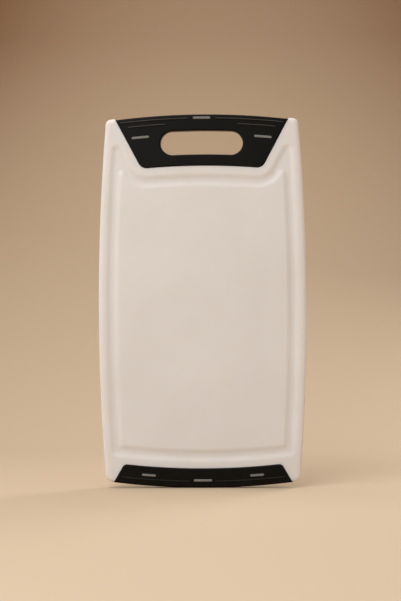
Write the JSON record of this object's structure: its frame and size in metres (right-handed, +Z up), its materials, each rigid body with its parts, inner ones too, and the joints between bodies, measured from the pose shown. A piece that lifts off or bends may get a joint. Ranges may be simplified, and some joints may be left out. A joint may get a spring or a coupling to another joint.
{
  "type": "cutting board",
  "caption": "Upright rectangular cutting board with bowed edges, a juice groove, a soft dark grip on each end and a curved hand slot in the upper one.",
  "frame": {"origin": "at mid-thickness on the lowest line of the bowed lower edge, where the upright board touches what it stands on", "axes": "+X to the right for someone facing the cutting side, +Y from the cutting side to the rear, +Z up from the lower edge to the hand slot"},
  "size_m": [0.2256, 0.0122, 0.405],
  "materials": {
    "plate": "fine-grained off-white polyethylene",
    "grip": "matt charcoal moulded elastomer",
    "pad": "matt grey moulded elastomer"
  },
  "bodies": {
    "root": {"board_body": "plate", "upper_grip": "grip", "lower_grip": "grip", "upper_front_pad_left": "pad", "upper_front_pad_centre": "pad", "upper_front_pad_right": "pad", "upper_rear_pad_left": "pad", "upper_rear_pad_centre": "pad", "upper_rear_pad_right": "pad", "lower_front_pad_left": "pad", "lower_front_pad_centre": "pad", "lower_front_pad_right": "pad", "lower_rear_pad_left": "pad", "lower_rear_pad_centre": "pad", "lower_rear_pad_right": "pad"}
  },
  "joints": []
}
